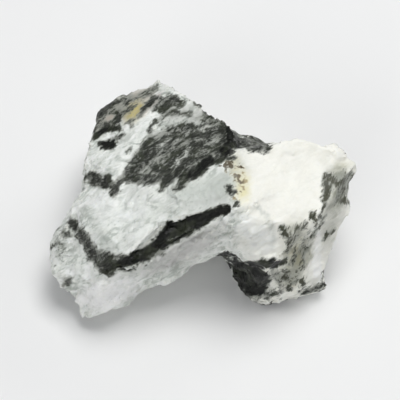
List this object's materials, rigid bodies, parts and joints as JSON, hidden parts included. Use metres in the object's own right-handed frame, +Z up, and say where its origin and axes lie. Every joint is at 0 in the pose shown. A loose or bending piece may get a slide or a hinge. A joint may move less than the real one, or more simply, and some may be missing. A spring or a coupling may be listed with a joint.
{
  "type": "zebra stone",
  "caption": "Rough angular piece of milky white rock with jagged black mineral seams, broken faces and one flat foot to rest on.",
  "frame": {"origin": "middle of the bounding box's underside, on the flat foot", "axes": "+X along the stone's longest extent, from the left lobe to the right tip; +Y to its back; +Z up"},
  "size_m": [0.068, 0.0516, 0.036],
  "materials": {
    "zebra_stone": "rough broken milky white rock with near-black seams, grey-green speckled patches and a little yellow-brown stain"
  },
  "bodies": {
    "root": {"zebra_stone": "zebra_stone"}
  },
  "joints": []
}
